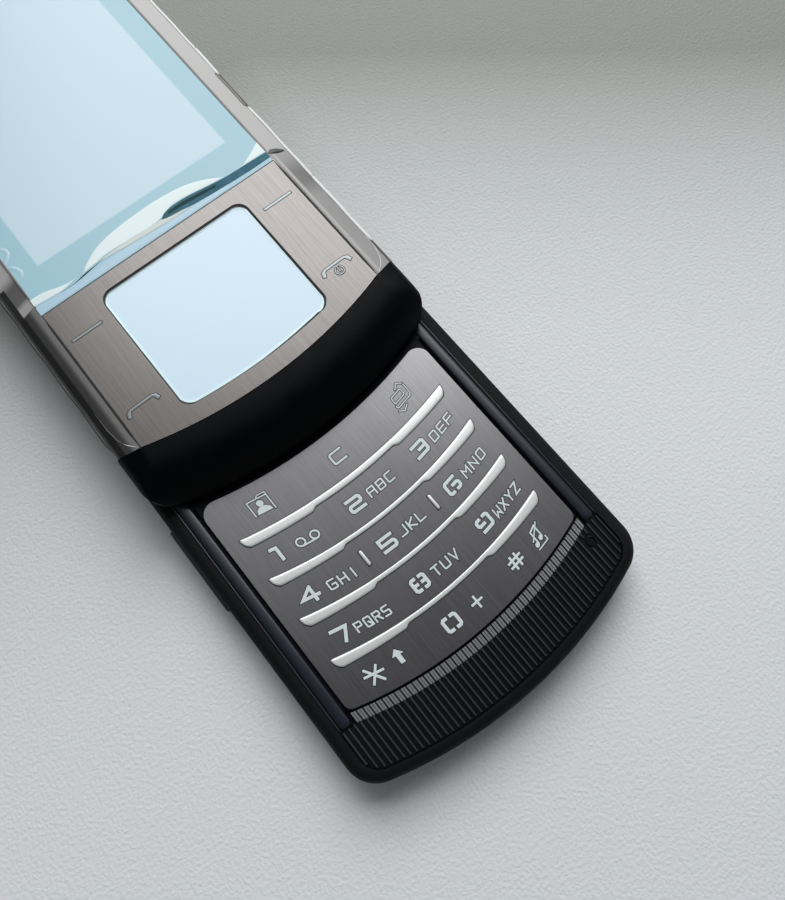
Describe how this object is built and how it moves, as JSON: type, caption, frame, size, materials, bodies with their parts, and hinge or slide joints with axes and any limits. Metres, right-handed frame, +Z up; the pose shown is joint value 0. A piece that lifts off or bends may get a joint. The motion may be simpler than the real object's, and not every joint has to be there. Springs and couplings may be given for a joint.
{
  "type": "slider phone",
  "caption": "Slider phone, opened: keypad half with curved rows of keys, sliding upper half with display, touch pad and rounded chin.",
  "frame": {"origin": "middle of the underside of the bounding box, phone open and lying on its back", "axes": "+X to the right seen from the front, +Y towards the earpiece, +Z up out of the keypad"},
  "size_m": [0.0516, 0.1517, 0.0129],
  "materials": {
    "soft_touch_black": "soft-touch, matt",
    "cover_black": "soft-touch, matt",
    "gloss_black": "piano black",
    "ribbed_black": "fine ribs, satin",
    "chin_black": "soft sheen",
    "bright_trim": "metallised, fine ribs",
    "polished_bar": "polished",
    "brushed_key": "brushed along the phone",
    "brushed_nav": "brushed along the phone",
    "metal_band": "satin",
    "shell_black": "matt",
    "slide_steel": "stamped sheet",
    "spring_steel": "drawn wire",
    "screw_steel": "blackened",
    "side_key_black": "satin",
    "display_glass": "glossy window, dark behind",
    "pad_window": "frosted",
    "lens_glass": "clear",
    "flash_clear": "frosted",
    "bezel_metal": "polished",
    "inner_metal": "stamped sheet",
    "inner_plastic": "moulded",
    "dome_film": "film with metal domes",
    "circuit_board": "lacquered",
    "ribbon": "amber film",
    "battery_label": "wrapped cell",
    "panel": "display module"
  },
  "bodies": {
    "lower_half": {"rear_case": "soft_touch_black", "front_frame": "gloss_black", "ribbed_grip": "ribbed_black", "ribbed_trim": "bright_trim", "key_bars": "polished_bar", "keypad_carrier": "inner_metal", "dome_sheet": "dome_film", "main_board": "circuit_board", "battery_pack": "battery_label", "sim_holder": "inner_metal", "camera_module": "inner_plastic", "camera_bezel": "bezel_metal", "camera_window": "lens_glass", "flash_lens": "flash_clear", "loudspeaker": "inner_plastic", "vibration_motor": "inner_metal", "antenna": "ribbon", "bottom_microphone": "inner_plastic", "case_screws": "screw_steel", "system_connector": "inner_metal", "slide_carriage": "slide_steel", "slide_springs": "spring_steel", "ribbon_cable": "ribbon"},
    "upper_half": {"upper_shell": "shell_black", "side_frame": "metal_band", "chin_cap": "chin_black", "display_glass": "display_glass", "display_module": "panel", "earpiece": "inner_plastic", "earpiece_mesh": "bezel_metal", "upper_board": "circuit_board", "nav_plate": "brushed_nav", "touch_pad_lens": "pad_window", "touch_pad_module": "panel", "nav_dome_sheet": "dome_film", "guide_plate": "slide_steel"},
    "battery_cover": {"battery_cover": "cover_black"},
    "volume_rocker": {"volume_rocker": "side_key_black"},
    "camera_key": {"camera_key": "side_key_black"},
    "port_cover": {"port_cover": "side_key_black"},
    "key_contacts": {"key_contacts": "brushed_key"},
    "key_clear": {"key_clear": "brushed_key"},
    "key_tasks": {"key_tasks": "brushed_key"},
    "key_1": {"key_1": "brushed_key"},
    "key_2": {"key_2": "brushed_key"},
    "key_3": {"key_3": "brushed_key"},
    "key_4": {"key_4": "brushed_key"},
    "key_5": {"key_5": "brushed_key"},
    "key_6": {"key_6": "brushed_key"},
    "key_7": {"key_7": "brushed_key"},
    "key_8": {"key_8": "brushed_key"},
    "key_9": {"key_9": "brushed_key"},
    "key_star": {"key_star": "brushed_key"},
    "key_0": {"key_0": "brushed_key"},
    "key_hash": {"key_hash": "brushed_key"},
    "soft_key_left": {"soft_key_left": "brushed_nav"},
    "soft_key_right": {"soft_key_right": "brushed_nav"},
    "send_key": {"send_key": "brushed_nav"},
    "end_key": {"end_key": "brushed_nav"}
  },
  "joints": [
    {"name": "slide", "type": "slide", "parent": "lower_half", "child": "upper_half", "axis": [0, -1, 0], "range_m": [0, 0.0465], "deforming": ["slide_springs", "ribbon_cable"]},
    {"name": "battery_cover_slide", "type": "slide", "parent": "lower_half", "child": "battery_cover", "axis": [0, -1, 0], "range_m": [0, 0.004]},
    {"name": "volume_rocker_tilt", "type": "hinge", "parent": "lower_half", "child": "volume_rocker", "pos_m": [-0.0246, -0.0341, 0.0041], "axis": [0, 0, 1], "range_deg": [-1.2, 1.2], "stiffness_Nm_per_rad": 0.02},
    {"name": "camera_key_press", "type": "slide", "parent": "lower_half", "child": "camera_key", "axis": [-1, 0, 0], "range_m": [0, 0.0003], "stiffness_N_per_m": 400, "springref_m": -0.0005},
    {"name": "port_cover_hinge", "type": "hinge", "parent": "lower_half", "child": "port_cover", "pos_m": [0.0248, 0.0088, 0.0041], "axis": [0, 0, 1], "range_deg": [0, 90]},
    {"name": "key_contacts_press", "type": "slide", "parent": "lower_half", "child": "key_contacts", "axis": [0, 0, -1], "range_m": [0, 0.00025], "stiffness_N_per_m": 400, "springref_m": -0.0005},
    {"name": "key_clear_press", "type": "slide", "parent": "lower_half", "child": "key_clear", "axis": [0, 0, -1], "range_m": [0, 0.00025], "stiffness_N_per_m": 400, "springref_m": -0.0005},
    {"name": "key_tasks_press", "type": "slide", "parent": "lower_half", "child": "key_tasks", "axis": [0, 0, -1], "range_m": [0, 0.00025], "stiffness_N_per_m": 400, "springref_m": -0.0005},
    {"name": "key_1_press", "type": "slide", "parent": "lower_half", "child": "key_1", "axis": [0, 0, -1], "range_m": [0, 0.00025], "stiffness_N_per_m": 400, "springref_m": -0.0005},
    {"name": "key_2_press", "type": "slide", "parent": "lower_half", "child": "key_2", "axis": [0, 0, -1], "range_m": [0, 0.00025], "stiffness_N_per_m": 400, "springref_m": -0.0005},
    {"name": "key_3_press", "type": "slide", "parent": "lower_half", "child": "key_3", "axis": [0, 0, -1], "range_m": [0, 0.00025], "stiffness_N_per_m": 400, "springref_m": -0.0005},
    {"name": "key_4_press", "type": "slide", "parent": "lower_half", "child": "key_4", "axis": [0, 0, -1], "range_m": [0, 0.00025], "stiffness_N_per_m": 400, "springref_m": -0.0005},
    {"name": "key_5_press", "type": "slide", "parent": "lower_half", "child": "key_5", "axis": [0, 0, -1], "range_m": [0, 0.00025], "stiffness_N_per_m": 400, "springref_m": -0.0005},
    {"name": "key_6_press", "type": "slide", "parent": "lower_half", "child": "key_6", "axis": [0, 0, -1], "range_m": [0, 0.00025], "stiffness_N_per_m": 400, "springref_m": -0.0005},
    {"name": "key_7_press", "type": "slide", "parent": "lower_half", "child": "key_7", "axis": [0, 0, -1], "range_m": [0, 0.00025], "stiffness_N_per_m": 400, "springref_m": -0.0005},
    {"name": "key_8_press", "type": "slide", "parent": "lower_half", "child": "key_8", "axis": [0, 0, -1], "range_m": [0, 0.00025], "stiffness_N_per_m": 400, "springref_m": -0.0005},
    {"name": "key_9_press", "type": "slide", "parent": "lower_half", "child": "key_9", "axis": [0, 0, -1], "range_m": [0, 0.00025], "stiffness_N_per_m": 400, "springref_m": -0.0005},
    {"name": "key_star_press", "type": "slide", "parent": "lower_half", "child": "key_star", "axis": [0, 0, -1], "range_m": [0, 0.00025], "stiffness_N_per_m": 400, "springref_m": -0.0005},
    {"name": "key_0_press", "type": "slide", "parent": "lower_half", "child": "key_0", "axis": [0, 0, -1], "range_m": [0, 0.00025], "stiffness_N_per_m": 400, "springref_m": -0.0005},
    {"name": "key_hash_press", "type": "slide", "parent": "lower_half", "child": "key_hash", "axis": [0, 0, -1], "range_m": [0, 0.00025], "stiffness_N_per_m": 400, "springref_m": -0.0005},
    {"name": "soft_key_left_press", "type": "slide", "parent": "upper_half", "child": "soft_key_left", "axis": [0, 0, -1], "range_m": [0, 0.0002], "stiffness_N_per_m": 400, "springref_m": -0.0005},
    {"name": "soft_key_right_press", "type": "slide", "parent": "upper_half", "child": "soft_key_right", "axis": [0, 0, -1], "range_m": [0, 0.0002], "stiffness_N_per_m": 400, "springref_m": -0.0005},
    {"name": "send_key_press", "type": "slide", "parent": "upper_half", "child": "send_key", "axis": [0, 0, -1], "range_m": [0, 0.0002], "stiffness_N_per_m": 400, "springref_m": -0.0005},
    {"name": "end_key_press", "type": "slide", "parent": "upper_half", "child": "end_key", "axis": [0, 0, -1], "range_m": [0, 0.0002], "stiffness_N_per_m": 400, "springref_m": -0.0005}
  ]
}
